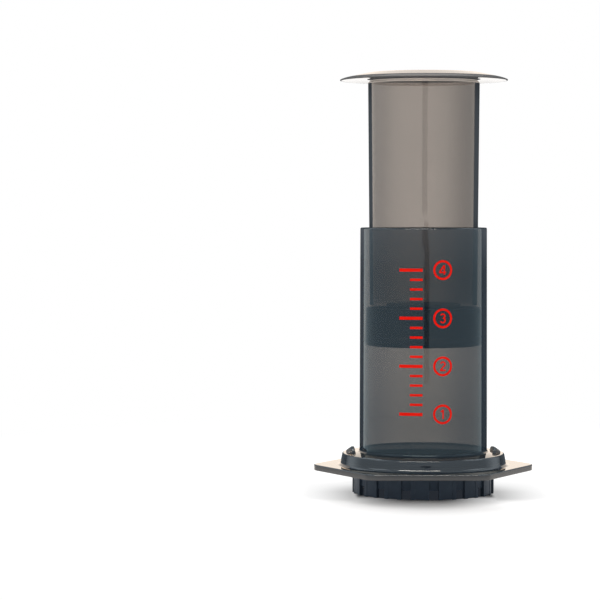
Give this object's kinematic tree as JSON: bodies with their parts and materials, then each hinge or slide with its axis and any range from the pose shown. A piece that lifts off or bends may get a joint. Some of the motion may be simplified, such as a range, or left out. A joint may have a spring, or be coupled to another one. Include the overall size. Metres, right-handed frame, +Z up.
{
  "type": "piston coffee press",
  "caption": "Hand piston coffee press: translucent tube chamber with a hexagonal flange, a flanged plunger with a rubber seal, and a twist-lock filter cap.",
  "frame": {"origin": "centre of the ring of feet under the filter cap, on the surface that the press stands on", "axes": "+Z up along the chamber and plunger; -Y towards the side with the level marks; +X and -X towards two corners of the flange"},
  "size_m": [0.1094, 0.097, 0.2095],
  "materials": {
    "smoke_plastic": "translucent smoke grey, glossy",
    "rubber": "dark grey, satin",
    "black_plastic": "near-black, satin",
    "paper": "white filter paper",
    "red_print": "red printed level marks on the chamber's wall"
  },
  "bodies": {
    "chamber_body": {"chamber": "smoke_plastic"},
    "seal_body": {"seal": "rubber"},
    "plunger_body": {"plunger": "smoke_plastic"},
    "cap_body": {"filter_cap": "black_plastic", "paper_filter": "paper"}
  },
  "joints": [
    {"name": "plunger_slide", "type": "slide", "parent": "chamber_body", "child": "seal_body", "axis": [0, 0, 1], "range_m": [-0.0663, 0.11]},
    {"name": "plunger_turn", "type": "hinge", "parent": "seal_body", "child": "plunger_body", "pos_m": [0, 0, 0.15], "axis": [0, 0, 1], "continuous": true},
    {"name": "cap_twist", "type": "hinge", "parent": "chamber_body", "child": "cap_body", "pos_m": [0, 0, 0.011], "axis": [0, 0, -1], "range_deg": [0, 24]}
  ]
}
